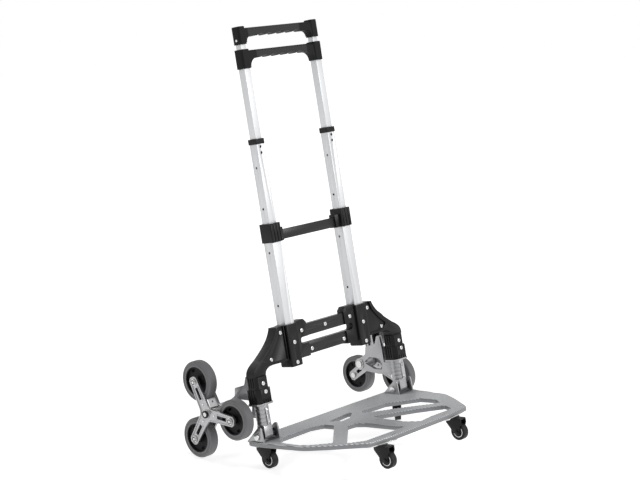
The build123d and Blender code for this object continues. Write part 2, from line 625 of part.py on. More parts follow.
def caster_fork(bearing, deck_underside):
    """Moulded fork trailing towards +x: a crown disc, a hood over the wheel, two cheeks and the king pin."""
    crown_radius, crown_thick = FORK_CROWN
    crown_top = bearing - SLIDE_GAP
    hood_top = crown_top - crown_thick
    inner = CASTER_WIDTH / 2 + FORK_GAP
    outer = inner + FORK_WALL
    crown = rod(crown_radius, (0, 0, hood_top), (0, 0, crown_top))
    king_pin = rod(KING_PIN_RADIUS, (0, 0, hood_top), (0, 0, deck_underside + CASTER_PLATE_THICK))
    back, front = -HOOD_BACK, CASTER_TRAIL + HOOD_FRONT
    hood = block((back, front), (-outer, outer), (hood_top - HOOD_THICK, hood_top))
    axle_z = -CASTER_DROP
    side_points = (
        (back, hood_top), (front, hood_top), (front + 1, hood_top - HOOD_DROP),
        (CASTER_TRAIL + TONGUE_HALF + 2, axle_z + TONGUE_HALF),
        (CASTER_TRAIL + TONGUE_HALF, axle_z - TONGUE_HALF),
        (CASTER_TRAIL - TONGUE_HALF, axle_z - TONGUE_HALF),
        (back, hood_top - HOOD_DROP),
    )
    side = outline(side_points, (0, 0, 3, 5, 5, 5, 4))
    cheeks = [Pos(0, y, 0) * extrude(Plane.XZ * side, FORK_WALL) for y in (outer, -inner)]
    bore = rod(CASTER_AXLE_RADIUS, (CASTER_TRAIL, -2 * outer, axle_z), (CASTER_TRAIL, 2 * outer, axle_z))
    return crown + king_pin + hood + cheeks - bore


def caster_axle():
    """Axle bolt with its head and nut on the outside of the fork."""
    half = CASTER_WIDTH / 2 + FORK_GAP + FORK_WALL
    nut_radius, nut_thick = CASTER_NUT
    axle = rod(CASTER_AXLE_RADIUS, (CASTER_TRAIL, -half, -CASTER_DROP), (CASTER_TRAIL, half, -CASTER_DROP))
    for start, end in ((-half - nut_thick, -half), (half, half + nut_thick)):
        axle += rod(nut_radius, (CASTER_TRAIL, start, -CASTER_DROP), (CASTER_TRAIL, end, -CASTER_DROP))
    return axle


def caster_wheel():
    half = CASTER_WIDTH / 2
    wheel = rod(CASTER_RADIUS, (CASTER_TRAIL, -half, -CASTER_DROP), (CASTER_TRAIL, half, -CASTER_DROP))
    wheel = fillet(wheel.edges().filter_by(GeomType.CIRCLE), 2.5)
    bore = CASTER_AXLE_RADIUS + RUNNING_CLEARANCE
    wheel -= rod(bore, (CASTER_TRAIL, -30, -CASTER_DROP), (CASTER_TRAIL, 30, -CASTER_DROP))
    return wheel


# ---- wheel brackets and stair-climbing wheel sets

def wheel_bracket():
    """Right bracket: a sleeve on the leg, an open arm with a horn, and a boss for the axle."""
    foot, top = SLEEVE
    clear = FLANGE_HALF[0] + HORN_CLEARANCE
    boss_edge = BOSS_RADIUS - 1
    arm_points = (
        ARM_ROOT, (ARM_ROOT[0], top - 3), (clear, top - 3), (clear, HORN_NECK), (clear + 3, HORN_TOP),
        (clear + 12, HORN_TOP), (clear + 20, HORN_SHOULDER), *ARM_BEND,
        (HUB_BACK, HUB_HEIGHT + boss_edge), (HUB_BACK, HUB_HEIGHT - boss_edge), ARM_HEEL,
    )
    arm = side_slab(outline(arm_points, (0, 0, 0, 4, 3, 4, 8, 4, 8, 0, 0, 12)), BRACKET_PLATE)
    arm -= side_slab(outline(BRACKET_WINDOW, 4), (BRACKET_PLATE[0] - 1, BRACKET_PLATE[1] + 1))
    sleeve = rod(SLEEVE_RADIUS, (LEG_X, 0, foot), (LEG_X, 0, top))
    groove_height, groove_depth = SLEEVE_GROOVE
    groove_pitch = (top - foot) / (SLEEVE_GROOVES + 1)
    for ring in range(SLEEVE_GROOVES):
        groove_z = foot + (ring + 1) * groove_pitch - groove_height / 2
        groove = rod(SLEEVE_RADIUS + 1, (LEG_X, 0, groove_z), (LEG_X, 0, groove_z + groove_height))
        groove -= rod(SLEEVE_RADIUS - groove_depth, (LEG_X, 0, groove_z - 1), (LEG_X, 0, groove_z + 3))
        sleeve -= groove
    boss_start = (BOSS_FACE, HUB_BACK, HUB_HEIGHT)
    boss_end = (WHEEL_INNER_FACE - SPIDER_GAP - SPIDER_PLATE - SLIDE_GAP, HUB_BACK, HUB_HEIGHT)
    boss = rod(BOSS_RADIUS, boss_start, boss_end)
    body = sleeve + arm + boss
    bore = LEG_RADIUS + RUNNING_CLEARANCE
    body -= rod(bore, (LEG_X, 0, foot - 1), (LEG_X, 0, top + 1))
    axle_start = (BOSS_FACE - 1, HUB_BACK, HUB_HEIGHT)
    return body - rod(AXLE_RADIUS, axle_start, (boss_end[0] + 1, HUB_BACK, HUB_HEIGHT))


def wheel_axle():
    """Right axle bolt: through the boss and the wheel set, with a head inside and a cap outside."""
    outer = WHEEL_OUTER_FACE + SPIDER_GAP + SPIDER_PLATE + SLIDE_GAP
    axle = rod(AXLE_RADIUS, (BOSS_FACE, HUB_BACK, HUB_HEIGHT), (outer, HUB_BACK, HUB_HEIGHT))
    cap_radius, cap_thick = AXLE_CAP
    axle += rod(cap_radius, (BOSS_FACE - cap_thick, HUB_BACK, HUB_HEIGHT), (BOSS_FACE, HUB_BACK, HUB_HEIGHT))
    return axle + rod(cap_radius, (outer, HUB_BACK, HUB_HEIGHT), (outer + cap_thick, HUB_BACK, HUB_HEIGHT))


def strap():
    """Small strap screwed to the front of the right sleeve, with its two pins."""
    width, thick, height = STRAP
    pin_radius, pin_proud = STRAP_PIN
    face = -SLEEVE_RADIUS - thick
    strap_x = (LEG_X - width / 2, LEG_X + width / 2)
    plate = block(strap_x, (face, -SLEEVE_RADIUS + 2 * thick), (SLEEVE[0] + 2, SLEEVE[0] + 2 + height))
    pins = [rod(pin_radius, (LEG_X, face - pin_proud, z), (LEG_X, face, z)) for z in STRAP_PINS]
    return plate + pins


def spider_outline():
    """Three tapered arms with chamfered tips and a hollow between each two."""
    root, shoulder = SPIDER_ARM
    reach, nose = SPIDER_TIP
    tip = SPIDER_REACH + reach
    points, corners = [], []
    for arm in range(3):
        turn = Location((0, 0, 0), (0, 0, 120 * arm))
        valley = root / sin(radians(60))
        arm_points = (
            (valley * cos(radians(-60)), valley * sin(radians(-60))),
            (tip - (shoulder - nose), -shoulder),
            (tip, -nose),
            (tip, nose),
            (tip - (shoulder - nose), shoulder),
        )
        for x, y in arm_points:
            spot = (turn * Location((x, y, 0))).position
            points.append((spot.X, spot.Y))
        corners += [SPIDER_FILLET, 2, 2, 2, 2]
    return outline(points, corners)


def spider_plate():
    """One plate of a wheel set, flat in z from 0 up, centred on the hub."""
    rim_width, rim_depth = SPIDER_RIM
    slot_length, slot_width = SPIDER_SLOT
    face = spider_outline()
    plate = extrude(face, SPIDER_PLATE)
    floor = SPIDER_PLATE - rim_depth
    plate -= Pos(0, 0, floor) * extrude(offset(face, -rim_width), rim_depth + 1)
    low = (Align.CENTER, Align.CENTER, Align.MIN)
    for arm in range(3):
        turn = Rot(0, 0, 120 * arm)
        rim = Box(slot_length + 2 * rim_width, slot_width + 2 * rim_width, floor + rim_depth / 2, align=low)
        slot = Box(slot_length, slot_width, 4 * SPIDER_PLATE)
        plate += turn * Pos(SPIDER_SLOT_PLACE, 0, 0) * rim
        plate -= turn * Pos(SPIDER_SLOT_PLACE, 0, 0) * slot
        plate -= turn * Pos(SPIDER_RIVET_PLACE, 0, 0) * Cylinder(SPIDER_RIVET_RADIUS, 4 * SPIDER_PLATE)
        tip = turn * Pos(SPIDER_REACH, 0, 0)
        plate += tip * Cylinder(SPIDER_BOSS_RADIUS, SPIDER_PLATE, align=low)
        plate -= tip * Cylinder(SPIDER_BOLT_RADIUS, 4 * SPIDER_PLATE)
    plate += Cylinder(SPIDER_HUB_RADIUS, SPIDER_PLATE, align=low)
    return plate - Cylinder(AXLE_RADIUS + RUNNING_CLEARANCE, 4 * SPIDER_PLATE)


def wheel_rim():
    """Moulded wheel centre about the z axis: a dished disc on both faces and slots near its edge."""
    rim = Cylinder(RIM_RADIUS, WHEEL_WIDTH)
    dish = Cylinder(RIM_RADIUS - RIM_LIP, RIM_DISH) - Cylinder(RIM_HUB_RADIUS, 2 * RIM_DISH)
    for side in (-1, 1):
        rim -= Pos(0, 0, side * (WHEEL_WIDTH - RIM_DISH) / 2) * dish
    slot = RectangleRounded(RIM_SLOT[1], RIM_SLOT[0], RIM_SLOT[1] / 2 - 0.1)
    for turn in range(RIM_SLOTS):
        cutter = Pos(RIM_SLOT_PLACE, 0, -WHEEL_WIDTH) * extrude(slot, 2 * WHEEL_WIDTH)
        rim -= Rot(0, 0, 360 / RIM_SLOTS * turn) * cutter
    return rim - Cylinder(SPIDER_BOLT_RADIUS + RUNNING_CLEARANCE, 2 * WHEEL_WIDTH)


def tyre():
    """Tread ring with round shoulders and a groove in both faces."""
    ring = Cylinder(WHEEL_RADIUS, WHEEL_WIDTH)
    ring = fillet(ring.edges().filter_by(GeomType.CIRCLE), TYRE_SHOULDER)
    groove_radius, groove_width, groove_depth = TYRE_GROOVE
    groove = Cylinder(groove_radius + groove_width / 2, groove_depth)
    groove -= Cylinder(groove_radius - groove_width / 2, groove_depth)
    for side in (-1, 1):
        ring -= Pos(0, 0, side * (WHEEL_WIDTH - groove_depth) / 2) * groove
    return ring - Cylinder(RIM_RADIUS, 2 * WHEEL_WIDTH)


def wheel_bolts(across, side):
    """Spacer on the axle and three wheel bolts, each with a head on both plates."""
    outer_x, inner_x = WHEEL_OUTER_FACE + SPIDER_GAP, WHEEL_INNER_FACE - SPIDER_GAP
    span = outer_x - inner_x
    low = (Align.CENTER, Align.CENTER, Align.MIN)
    middle = Location((0, 0, -side * (outer_x + inner_x) / 2))
    spacer = Cylinder(SPIDER_HUB_RADIUS, span) - Cylinder(AXLE_RADIUS + RUNNING_CLEARANCE, 2 * span)
    head_radius, head_thick = SPIDER_BOLT_HEAD
    bolt = Cylinder(SPIDER_BOLT_RADIUS, span + 2 * SPIDER_PLATE)
    for height in (span / 2 + SPIDER_PLATE, -span / 2 - SPIDER_PLATE - head_thick):
        bolt += Pos(0, 0, height) * Cylinder(head_radius, head_thick, align=low)
    bolts = [across * middle * Rot(0, 0, 120 * arm) * Pos(SPIDER_REACH, 0, 0) * bolt for arm in range(3)]
    return [across * middle * spacer] + bolts


def build_wheel_sets():
    bracket, axle, right_strap = wheel_bracket(), wheel_axle(), strap()
    bracket -= right_strap
    plate, rim, tread = spider_plate(), wheel_rim(), tyre()
    outer_x = WHEEL_OUTER_FACE + SPIDER_GAP
    inner_x = WHEEL_INNER_FACE - SPIDER_GAP
    wheel_x = (WHEEL_OUTER_FACE + WHEEL_INNER_FACE) / 2
    hub = (FRAME * Location((0, HUB_BACK, HUB_HEIGHT))).position
    hub_plane = Plane(origin=(0, hub.Y, hub.Z), x_dir=(0, -1, 0), z_dir=(-1, 0, 0)).location
    for name, side in SIDES.items():
        for kind, piece in (("wheel_bracket", bracket), ("wheel_axle", axle), ("bracket_strap", right_strap)):
            add(f"{kind}_{name}", [piece if side > 0 else mirrored(piece)])
        # An arm angle of 0 points forward and grows towards the top, seen from the right.
        # The plane's z axis points to the left, so a place to the right has a negative z.
        across = hub_plane * Location((0, 0, 0), (0, 0, SPIDER_PHASE[name]))
        turned_over = Location((0, 0, 0), (180, 0, 0))
        outer_turn, inner_turn = (turned_over, Location()) if side > 0 else (Location(), turned_over)
        outer_plate = across * Location((0, 0, -side * outer_x)) * outer_turn * plate
        inner_plate = across * Location((0, 0, -side * inner_x)) * inner_turn * plate
        add("spider_outer_" + name, [outer_plate], Location())
        add("spider_inner_" + name, [inner_plate], Location())
        add("spider_bolts_" + name, wheel_bolts(across, side), Location())
        for wheel in range(3):
            arm_end = Location((0, 0, 0), (0, 0, 120 * wheel)) * Location((SPIDER_REACH, 0, -side * wheel_x))
            rolled = Location((0, 0, 0), (0, 0, RIM_TURN - 120 * wheel))
            add(f"rim_{name}_{wheel + 1}", [across * arm_end * rolled * rim], Location())
            add(f"tyre_{name}_{wheel + 1}", [across * arm_end * tread], Location())


build_tubes()
build_frame()
build_clamps()
build_handles()
build_deck()
build_wheel_sets()

# ---- the origin goes to the floor under the middle of the whole trolley
boxes = [solid.bounding_box() for solids in nodes.values() for solid in solids]
middle_x = (min(box.min.X for box in boxes) + max(box.max.X for box in boxes)) / 2
middle_y = (min(box.min.Y for box in boxes) + max(box.max.Y for box in boxes)) / 2
ORIGIN = Location((-middle_x, -middle_y, -min(box.min.Z for box in boxes)))
model = {name: Compound(children=[ORIGIN * solid for solid in solids]) for name, solids in nodes.items()}

os.makedirs("parts", exist_ok=True)
for name, piece in model.items():
    export_step(piece, f"parts/{name}.step")
print(len(model), "nodes,", sum(len(piece.solids()) for piece in model.values()), "solids")
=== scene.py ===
"""Folding luggage trolley with a telescopic handle, stair-climbing wheel sets and swivel casters.

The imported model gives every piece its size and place. This script gives each piece its finish and its
fine shape, in the order in which the trolley is put together.
"""

import json
import math

import bpy
from mathutils import Matrix, Vector

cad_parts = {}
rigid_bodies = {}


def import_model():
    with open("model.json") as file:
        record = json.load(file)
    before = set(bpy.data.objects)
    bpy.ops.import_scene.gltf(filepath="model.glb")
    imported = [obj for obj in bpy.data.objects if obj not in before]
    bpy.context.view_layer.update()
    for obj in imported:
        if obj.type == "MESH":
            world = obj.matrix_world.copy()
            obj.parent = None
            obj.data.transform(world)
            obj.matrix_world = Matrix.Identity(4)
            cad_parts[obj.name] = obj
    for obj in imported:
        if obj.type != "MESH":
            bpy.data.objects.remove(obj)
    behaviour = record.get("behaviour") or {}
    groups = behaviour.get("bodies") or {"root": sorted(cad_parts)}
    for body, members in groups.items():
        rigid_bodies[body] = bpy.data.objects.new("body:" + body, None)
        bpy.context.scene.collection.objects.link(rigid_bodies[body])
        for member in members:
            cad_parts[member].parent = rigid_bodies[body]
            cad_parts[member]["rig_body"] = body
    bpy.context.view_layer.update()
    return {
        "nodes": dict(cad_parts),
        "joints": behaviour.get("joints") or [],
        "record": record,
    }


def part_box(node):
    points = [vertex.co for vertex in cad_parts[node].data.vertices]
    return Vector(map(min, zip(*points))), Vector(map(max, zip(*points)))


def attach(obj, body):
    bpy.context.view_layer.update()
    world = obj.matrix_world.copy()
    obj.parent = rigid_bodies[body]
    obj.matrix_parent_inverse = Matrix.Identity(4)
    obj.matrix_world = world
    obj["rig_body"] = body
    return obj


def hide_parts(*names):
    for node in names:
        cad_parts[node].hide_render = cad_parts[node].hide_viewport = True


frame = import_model()
NODES = frame["nodes"]
JOINTS = {joint["name"]: joint for joint in frame["joints"]}
MM = 0.001
SIDES = ("left", "right")
bpy.ops.object.select_all(action="DESELECT")

# ---------------------------------------------------------------------------------------------------
# Studio: a long lens at the height of the grips, a pale floor, and a large soft lamp at the front right.
# The floor and the world are white to the camera and to glossy surfaces, and only shade the object.

VIEW_FROM = Vector((-2.6334, -2.3558, 1.2729))
VIEW_TO = Vector((-0.0401, 0.0421, 0.4739))
LENS = 92.8
FLOOR_SIZE = 12.0
FLOOR_DROP = 0.4 * MM
FLOOR_GLOW = 0.72
GLOW_RADII = (0.5, 1.6)
SKY_LIGHT = 0.22

camera_data = bpy.data.cameras.new("camera")
camera_data.lens = LENS
camera_data.sensor_width = 36
camera = bpy.data.objects.new("camera", camera_data)
camera.location = VIEW_FROM
camera.rotation_euler = (VIEW_TO - VIEW_FROM).to_track_quat("-Z", "Y").to_euler()
bpy.context.scene.collection.objects.link(camera)
bpy.context.scene.camera = camera
bpy.context.scene.view_settings.view_transform = "Standard"


def lamp(name, place, size, power):
    """Square soft lamp aimed at the middle of the trolley."""
    data = bpy.data.lights.new(name, "AREA")
    data.size = size
    data.energy = power
    light = bpy.data.objects.new(name, data)
    light.location = place
    light.rotation_euler = (Vector((0, 0, 0.4)) - Vector(place)).to_track_quat("-Z", "Y").to_euler()
    bpy.context.scene.collection.objects.link(light)


lamp("key", (1.4, -3.2, 2.0), 1.0, 52)
lamp("left", (-3.4, 0.6, 1.6), 1.2, 6)
lamp("top", (-0.4, 0.2, 3.0), 1.2, 16)

world = bpy.data.worlds.new("studio")
bpy.context.scene.world = world
world.use_nodes = True
sky = world.node_tree
sky.nodes.clear()
sky_path = sky.nodes.new("ShaderNodeLightPath")
sky_seen = sky_path.outputs["Is Camera Ray"]
for ray in ("Is Glossy Ray", "Is Transmission Ray"):
    either = sky.nodes.new("ShaderNodeMath")
    either.operation = "MAXIMUM"
    sky.links.new(sky_seen, either.inputs[0])
    sky.links.new(sky_path.outputs[ray], either.inputs[1])
    sky_seen = either.outputs[0]
sky_level = sky.nodes.new("ShaderNodeMapRange")
sky_level.inputs["To Min"].default_value = SKY_LIGHT
sky_level.inputs["To Max"].default_value = 1.0
sky.links.new(sky_seen, sky_level.inputs["Value"])
sky_light = sky.nodes.new("ShaderNodeBackground")
sky_light.inputs["Color"].default_value = (1, 1, 1, 1)
sky.links.new(sky_level.outputs["Result"], sky_light.inputs["Strength"])
sky_out = sky.nodes.new("ShaderNodeOutputWorld")
sky.links.new(sky_light.outputs[0], sky_out.inputs[0])

bpy.ops.mesh.primitive_plane_add(size=FLOOR_SIZE, location=(0, 0, -FLOOR_DROP))
floor = bpy.context.object
floor.name = "floor"
paint = bpy.data.materials.new("white floor")
paint.use_nodes = True
tree = paint.node_tree
tree.nodes.clear()
diffuse = tree.nodes.new("ShaderNodeBsdfDiffuse")
diffuse.inputs["Color"].default_value = (0.9, 0.9, 0.9, 1)
glow = tree.nodes.new("ShaderNodeEmission")
spot = tree.nodes.new("ShaderNodeTexCoord")
reach_out = tree.nodes.new("ShaderNodeVectorMath")
reach_out.operation = "LENGTH"
tree.links.new(spot.outputs["Object"], reach_out.inputs[0])
far_glow = tree.nodes.new("ShaderNodeMapRange")
far_glow.interpolation_type = "SMOOTHSTEP"
far_glow.inputs["From Min"].default_value = GLOW_RADII[0]
far_glow.inputs["From Max"].default_value = GLOW_RADII[1]
far_glow.inputs["To Min"].default_value = FLOOR_GLOW
far_glow.inputs["To Max"].default_value = 1.0
tree.links.new(reach_out.outputs["Value"], far_glow.inputs["Value"])
tree.links.new(far_glow.outputs["Result"], glow.inputs["Strength"])
both = tree.nodes.new("ShaderNodeAddShader")
out = tree.nodes.new("ShaderNodeOutputMaterial")
tree.links.new(diffuse.outputs[0], both.inputs[0])
tree.links.new(glow.outputs[0], both.inputs[1])
tree.links.new(both.outputs[0], out.inputs[0])
floor.data.materials.append(paint)

# ---------------------------------------------------------------------------------------------------
# Toe plate: one aluminium casting with five cut-outs, painted light grey. Its edges are rounded and its
# top is ribbed from front to back, so that boxes don't slide.

DECK_EDGE = 0.8 * MM
RIDGE_PITCH = 6.4 * MM
RIDGE_FOOT = 3.4 * MM
RIDGE_TOP = 2.2 * MM
RIDGE_HEIGHT = 0.8 * MM
RIDGE_SINK = 0.2 * MM
MERGE_REACH = 0.005 * MM
FLAT_ANGLE = 0.6
EDGE_ANGLE = 38


def finish(name, colour, roughness, metallic=0.0, grain=(300, 300, 300), depth=0.02, tone=0.06, cloud=14.0,
           shine=0.5):
    """Painted, moulded or metal surface with grain in its height, its tone and its gloss.

    grain is how many grains there are to the metre along each axis, depth their height in millimetres,
    tone how far the colour drifts, cloud how many slow drifts there are to the metre, and shine how
    much a plastic or painted surface mirrors.
    """
    material = bpy.data.materials.new(name)
    material.use_nodes = True
    tree = material.node_tree
    shader = tree.nodes["Principled BSDF"]
    shader.inputs["Metallic"].default_value = metallic
    shader.inputs["Specular IOR Level"].default_value = shine
    place = tree.nodes.new("ShaderNodeTexCoord")
    stretch = tree.nodes.new("ShaderNodeMapping")
    stretch.inputs["Scale"].default_value = grain
    tree.links.new(place.outputs["Object"], stretch.inputs["Vector"])
    grains = tree.nodes.new("ShaderNodeTexNoise")
    grains.inputs["Scale"].default_value = 1.0
    grains.inputs["Detail"].default_value = 4.0
    tree.links.new(stretch.outputs["Vector"], grains.inputs["Vector"])
    clouds = tree.nodes.new("ShaderNodeTexNoise")
    clouds.inputs["Scale"].default_value = cloud
    clouds.inputs["Detail"].default_value = 3.0
    tree.links.new(place.outputs["Object"], clouds.inputs["Vector"])
    blend = tree.nodes.new("ShaderNodeMix")
    blend.inputs["Factor"].default_value = 0.5
    tree.links.new(grains.outputs["Fac"], blend.inputs["A"])
    tree.links.new(clouds.outputs["Fac"], blend.inputs["B"])
    shades = tree.nodes.new("ShaderNodeValToRGB")
    dark, light = shades.color_ramp.elements
    dark.position, light.position = 0.3, 0.7
    dark.color = [channel * (1 - tone) for channel in colour] + [1]
    light.color = [min(channel * (1 + tone), 1) for channel in colour] + [1]
    tree.links.new(blend.outputs["Result"], shades.inputs["Fac"])
    tree.links.new(shades.outputs["Color"], shader.inputs["Base Color"])
    gloss = tree.nodes.new("ShaderNodeMapRange")
    gloss.inputs["To Min"].default_value = max(roughness - 0.08, 0.03)
    gloss.inputs["To Max"].default_value = min(roughness + 0.08, 1.0)
    tree.links.new(blend.outputs["Result"], gloss.inputs["Value"])
    tree.links.new(gloss.outputs["Result"], shader.inputs["Roughness"])
    bump = tree.nodes.new("ShaderNodeBump")
    bump.inputs["Distance"].default_value = depth * MM
    tree.links.new(grains.outputs["Fac"], bump.inputs["Height"])
    tree.links.new(bump.outputs["Normal"], shader.inputs["Normal"])
    return material


def activate(piece):
    """Make one piece the active and only selected one."""
    bpy.ops.object.select_all(action="DESELECT")
    piece.select_set(True)
    bpy.context.view_layer.objects.active = piece


def modify(piece, kind, **settings):
    """Add a modifier with its settings and apply it."""
    activate(piece)
    modifier = piece.modifiers.new(kind.lower(), kind)
    for setting, value in settings.items():
        setattr(modifier, setting, value)
    bpy.ops.object.modifier_apply(modifier=modifier.name)


def pick(piece, test):
    """Open a piece in edit mode with only the faces selected whose middle and normal pass the test."""
    activate(piece)
    bpy.ops.object.mode_set(mode="EDIT")
    bpy.ops.mesh.select_mode(type="FACE")
    bpy.ops.mesh.select_all(action="DESELECT")
    bpy.ops.object.mode_set(mode="OBJECT")
    for face in piece.data.polygons:
        face.select = test(face.center, face.normal)
    bpy.ops.object.mode_set(mode="EDIT")


def merged_copy(node, name):
    """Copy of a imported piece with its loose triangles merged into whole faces."""
    piece = bpy.data.objects.new(name, NODES[node].data.copy())
    bpy.context.scene.collection.objects.link(piece)
    activate(piece)
    bpy.ops.mesh.customdata_custom_splitnormals_clear()
    bpy.ops.object.mode_set(mode="EDIT")
    bpy.ops.mesh.select_all(action="SELECT")
    bpy.ops.mesh.remove_doubles(threshold=MERGE_REACH)
    bpy.ops.mesh.dissolve_limited(angle_limit=math.radians(FLAT_ANGLE))
    bpy.ops.object.mode_set(mode="OBJECT")
    return piece


def fit(piece, material, slot, *nodes, smooth=35):
    """Give a finished piece its material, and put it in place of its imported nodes, on their body."""
    activate(piece)
    bpy.ops.object.shade_smooth_by_angle(angle=math.radians(smooth))
    piece.data.materials.clear()
    piece.data.materials.append(material)
    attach(piece, NODES[nodes[0]]["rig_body"])
    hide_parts(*nodes)
    return piece


def soften(piece, width, segments=2, sharper_than=60):
    """Round the edges of a piece that turn by more than an angle in degrees."""
    modify(piece, "BEVEL", width=width, segments=segments, limit_method="ANGLE",
           angle_limit=math.radians(sharper_than))


def rounded(node, edge, material, slot):
    """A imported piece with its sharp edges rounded, as its mould or its tumbling leaves them."""
    piece = merged_copy(node, node + "_finished")
    soften(piece, edge, sharper_than=EDGE_ANGLE)
    return fit(piece, material, slot, node)


deck_paint = finish("grey deck paint", (0.22, 0.225, 0.235), 0.42, 0.4, grain=(420, 420, 420), depth=0.05)
# The ridges get a much lighter grey than the rest of the plate.
ridge_paint = finish("lighter ridge paint", (0.62, 0.63, 0.64), 0.36, 0.5, grain=(420, 420, 420), depth=0.05)
rounded("toe_plate", DECK_EDGE, deck_paint, "deck")

deck_normal = Vector(frame["record"]["mounts"][0]["axis"])
deck_spot = Vector(frame["record"]["mounts"][0]["pos_m"])
deck_turn = Matrix(((1, 0, 0), (0, deck_normal.z, deck_normal.y), (0, -deck_normal.y, deck_normal.z)))
DECK = Matrix.Translation(deck_spot) @ deck_turn.to_4x4()
DECK_BACK = DECK.inverted()

ridge_area = merged_copy("toe_plate", "ridge_area")
ridge_area.data.transform(Matrix.Translation((0, 0, RIDGE_HEIGHT + RIDGE_SINK)) @ DECK_BACK)
area_low = Vector(map(min, zip(*[vertex.co for vertex in ridge_area.data.vertices])))
area_high = Vector(map(max, zip(*[vertex.co for vertex in ridge_area.data.vertices])))

bpy.ops.mesh.primitive_cube_add(size=1)
ridges = bpy.context.object
ridges.name = "toe_plate_ridges"
ridge_length = area_high.y - area_low.y + 0.01
ridge_start = Matrix.Translation((area_low.x, (area_low.y + area_high.y) / 2, 0))
ridges.data.transform(ridge_start @ Matrix.Diagonal((RIDGE_FOOT, ridge_length, 2 * RIDGE_HEIGHT, 1)))
pick(ridges, lambda middle, normal: normal.z > 0.9)
bpy.ops.transform.resize(value=(RIDGE_TOP / RIDGE_FOOT, 1, 1))
bpy.ops.object.mode_set(mode="OBJECT")
ridge_count = int((area_high.x - area_low.x) / RIDGE_PITCH) + 1
modify(ridges, "ARRAY", count=ridge_count, use_relative_offset=False, use_constant_offset=True,
       constant_offset_displace=(RIDGE_PITCH, 0, 0))
modify(ridges, "BOOLEAN", operation="INTERSECT", object=ridge_area, solver="EXACT")
ridges.data.transform(DECK)
bpy.data.objects.remove(ridge_area)
activate(ridges)
bpy.ops.object.shade_smooth_by_angle(angle=math.radians(30))
ridges.data.materials.append(ridge_paint)
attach(ridges, "toe_plate")

# ---------------------------------------------------------------------------------------------------
# Hinges of the toe plate: cast aluminium brackets on the plate, and zinc-plated pins through the lugs of
# the legs, with a turned black nylon spacer at each side of a lug. Countersunk cross-recess screws hold the
# casters' steel plates.

CAST_EDGE = 0.7 * MM
STEEL_EDGE = 0.4 * MM

cast = finish("cast aluminium", (0.36, 0.36, 0.37), 0.34, 0.9, grain=(520, 520, 520), depth=0.07, tone=0.09)
zinc = finish("bright zinc", (0.62, 0.62, 0.61), 0.22, 1.0, depth=0.01, tone=0.04)
for side in SIDES:
    rounded(f"hinge_bracket_{side}", CAST_EDGE, cast, "casting")
rounded("hinge_pins", STEEL_EDGE, zinc, "steel")
rounded("caster_plates", STEEL_EDGE, zinc, "steel")


def islands(node):
    """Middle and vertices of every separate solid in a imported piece."""
    part = merged_copy(node, "islands")
    links = {index: index for index in range(len(part.data.vertices))}

    def root(index):
        while links[index] != index:
            links[index] = links[links[index]]
            index = links[index]
        return index

    for edge in part.data.edges:
        first, second = map(root, edge.vertices)
        links[first] = second
    groups = {}
    for vertex in part.data.vertices:
        groups.setdefault(root(vertex.index), []).append(vertex.co.copy())
    bpy.data.objects.remove(part)
    return [(sum(group, Vector()) / len(group), group) for group in groups.values()]


def disc(name, radius, thick, corners=48):
    """Flat round blank that stands on z = 0, with its axis along z."""
    middle = (0, 0, thick / 2)
    bpy.ops.mesh.primitive_cylinder_add(vertices=corners, radius=radius, depth=thick, location=middle)
    piece = bpy.context.object
    piece.name = name
    bpy.ops.object.transform_apply(location=True, rotation=True, scale=True)
    return piece


def sink(piece, thickness, depth, end=1):
    """Inset the middle face on one end of a round blank and lower it into the blank."""
    pick(piece, lambda middle, normal: normal.z * end > 0.99 and math.hypot(middle.x, middle.y) < 0.1 * MM)
    bpy.ops.mesh.inset(thickness=thickness)
    bpy.ops.mesh.extrude_region_move(TRANSFORM_OT_translate={"value": (0, 0, -end * depth)})
    bpy.ops.object.mode_set(mode="OBJECT")


def seated(piece, spot, outward):
    """Copy of a blank with its own mesh, its z axis along outward and its foot at the spot."""
    copy = bpy.data.objects.new(piece.name, piece.data.copy())
    bpy.context.scene.collection.objects.link(copy)
    turn = Vector(outward).to_track_quat("Z", "Y").to_matrix().to_4x4()
    copy.data.transform(Matrix.Translation(spot) @ turn)
    return copy


def joined(name, pieces):
    """Several finished solids as one piece."""
    activate(pieces[0])
    for piece in pieces[1:]:
        piece.select_set(True)
    if len(pieces) > 1:
        bpy.ops.object.join()
    pieces[0].name = name
    return pieces[0]


SPACER_RADIUS = 8.4 * MM
SPACER_EDGE = 0.8 * MM
BRACKET_WALL = 3.6 * MM
LUG_REACH = 12.3 * MM

nylon = finish("black nylon", (0.006, 0.006, 0.007), 0.36, grain=(800, 800, 800), depth=0.06, tone=0.25,
               shine=0.2)
pin = Vector(JOINTS["toe_plate_fold"]["pos_m"])
for side in SIDES:
    leg_low, leg_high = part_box(f"leg_{side}")
    lug_x = (leg_low.x + leg_high.x) / 2
    bracket_low, bracket_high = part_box(f"hinge_bracket_{side}")
    gap = (bracket_high.x - bracket_low.x) / 2 - BRACKET_WALL - LUG_REACH
    spacer = disc(f"hinge_spacer_{side}", SPACER_RADIUS, gap, 40)
    soften(spacer, SPACER_EDGE)
    spacers = [seated(spacer, (lug_x + end * LUG_REACH, pin.y, pin.z), (end, 0, 0)) for end in (1, -1)]
    bpy.data.objects.remove(spacer)
    fit(joined(f"hinge_spacers_{side}", spacers), nylon, "black_plastic", "hinge_pins")

SCREW_RADIUS = 4.3 * MM
SCREW_THICK = 1.3 * MM
SCREW_SINK = 0.1 * MM
RECESS = (4.6 * MM, 1.0 * MM, 2.0 * MM)
TOP_LIMIT = -1.0 * MM


def cut(piece, cutter):
    """Cut a shape out of a piece and throw the shape away."""
    modify(piece, "BOOLEAN", operation="DIFFERENCE", object=cutter, solver="EXACT")
    bpy.data.objects.remove(cutter)


